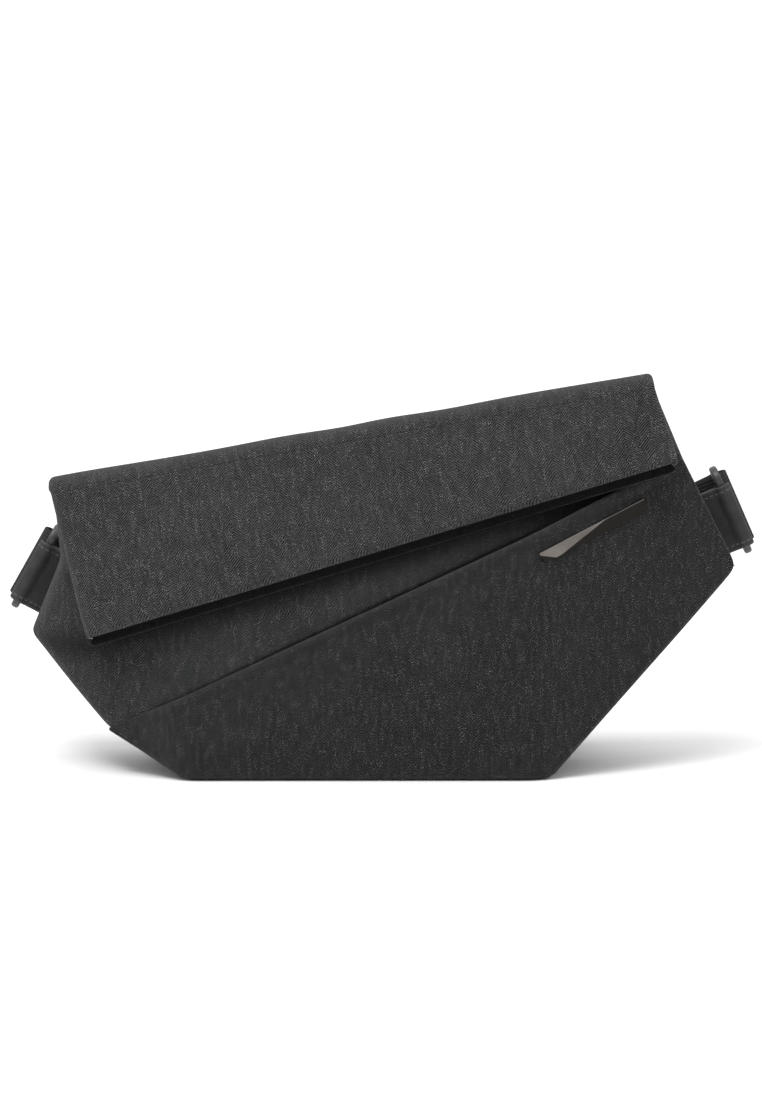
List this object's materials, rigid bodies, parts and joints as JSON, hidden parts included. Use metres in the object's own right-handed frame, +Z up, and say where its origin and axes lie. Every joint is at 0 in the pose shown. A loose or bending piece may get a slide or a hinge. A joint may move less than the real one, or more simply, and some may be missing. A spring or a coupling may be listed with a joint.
{
  "type": "sling bag",
  "caption": "Sling bag with a folded roll-top flap, slanted zipped front pocket, side tabs with flat rings and an adjustable webbing strap lying behind it.",
  "frame": {"origin": "middle of the base's rest face", "axes": "+X along the bag towards its taller end, +Y towards the back panel that lies against the wearer, +Z up"},
  "size_m": [0.4187, 0.1318, 0.2199],
  "materials": {
    "shell_fabric": "charcoal herringbone weave",
    "roll_fabric": "charcoal herringbone weave",
    "pocket_fabric": "charcoal herringbone weave",
    "lining": "plain woven lining",
    "padding": "brushed padded divider",
    "foam": "closed-cell foam",
    "mesh": "spacer mesh",
    "board": "stiffening board",
    "magnet": "nickel plated magnet",
    "zip_tape": "woven tape",
    "zip_coil": "nylon coil",
    "zip_metal": "matt black",
    "badge_metal": "warm gunmetal",
    "tab_leather": "smooth black",
    "ring_metal": "dark grey",
    "webbing": "ribbed webbing",
    "elastic": "elastic loop"
  },
  "bodies": {
    "bag": {"front_panel": "shell_fabric", "back_panel": "shell_fabric", "left_lower_gusset": "shell_fabric", "bottom_panel": "shell_fabric", "right_lower_gusset": "shell_fabric", "left_upper_gusset": "shell_fabric", "right_upper_gusset": "shell_fabric", "neck_front": "roll_fabric", "neck_back": "roll_fabric", "neck_left": "roll_fabric", "neck_right": "roll_fabric", "top_fold_outer": "roll_fabric", "top_fold_inner": "roll_fabric", "pocket_panel": "pocket_fabric", "pocket_gusset": "pocket_fabric", "pocket_hem": "pocket_fabric", "zip_tape_front": "zip_tape", "zip_tape_back": "zip_tape", "zip_coil_front": "zip_coil", "zip_coil_back": "zip_coil", "zip_stops": "zip_metal", "badge": "badge_metal", "badge_prongs": "badge_metal", "badge_backplate": "badge_metal", "base_board": "board", "back_board": "board", "back_lining": "lining", "divider": "padding", "slip_pocket": "lining", "back_foam": "foam", "back_mesh": "mesh", "tab_left": "tab_leather", "tab_right": "tab_leather", "strap_run_left": "webbing", "strap_run_right": "webbing", "strap_turn_right": "webbing", "strap_turn_left": "webbing", "strap_middle": "webbing"},
    "roll_top": {"flap_outer": "roll_fabric", "flap_inner": "roll_fabric", "flap_edge_left": "roll_fabric", "flap_edge_right": "roll_fabric", "mouth_stiffener_outer": "board", "mouth_stiffener_inner": "board", "mouth_magnets_outer": "magnet", "mouth_magnets_inner": "magnet"},
    "zip_slider": {"zip_slider": "zip_metal"},
    "zip_pull": {"zip_pull": "zip_metal"},
    "left_ring": {"ring_left": "ring_metal", "strap_end_left": "webbing"},
    "right_ring": {"ring_right": "ring_metal", "strap_end_right": "webbing"},
    "adjuster": {"strap_adjuster": "ring_metal"},
    "keeper": {"strap_keeper": "elastic"}
  },
  "joints": [
    {"name": "roll_unfold", "type": "hinge", "parent": "bag", "child": "roll_top", "pos_m": [0, -0.0085, 0.182], "axis": [-0.9848, 0, -0.1736], "range_deg": [0, 166], "deforming": ["top_fold_outer", "top_fold_inner"]},
    {"name": "zip_slide", "type": "slide", "parent": "bag", "child": "zip_slider", "axis": [-0.9046, -0.0207, -0.4257], "range_m": [0, 0.11]},
    {"name": "pull_flip", "type": "hinge", "parent": "zip_slider", "child": "zip_pull", "pos_m": [0.0758, -0.02704, 0.12349], "axis": [-0.0229, 0.9997, 0], "range_deg": [0, 75]},
    {"name": "left_ring_swing", "type": "hinge", "parent": "bag", "child": "left_ring", "pos_m": [-0.1855, 0.0398, 0.1052], "axis": [0.4924, 0, 0.8704], "range_deg": [-15, 15]},
    {"name": "right_ring_swing", "type": "hinge", "parent": "bag", "child": "right_ring", "pos_m": [0.2026, 0.0398, 0.137], "axis": [-0.4019, 0, 0.9157], "range_deg": [-15, 15]},
    {"name": "adjuster_slide", "type": "slide", "parent": "bag", "child": "adjuster", "axis": [0.8702, -0.0163, -0.4924], "range_m": [-0.038, 0.006]},
    {"name": "keeper_slide", "type": "slide", "parent": "bag", "child": "keeper", "axis": [0.8702, -0.0163, -0.4924], "range_m": [-0.005, 0.015]}
  ]
}
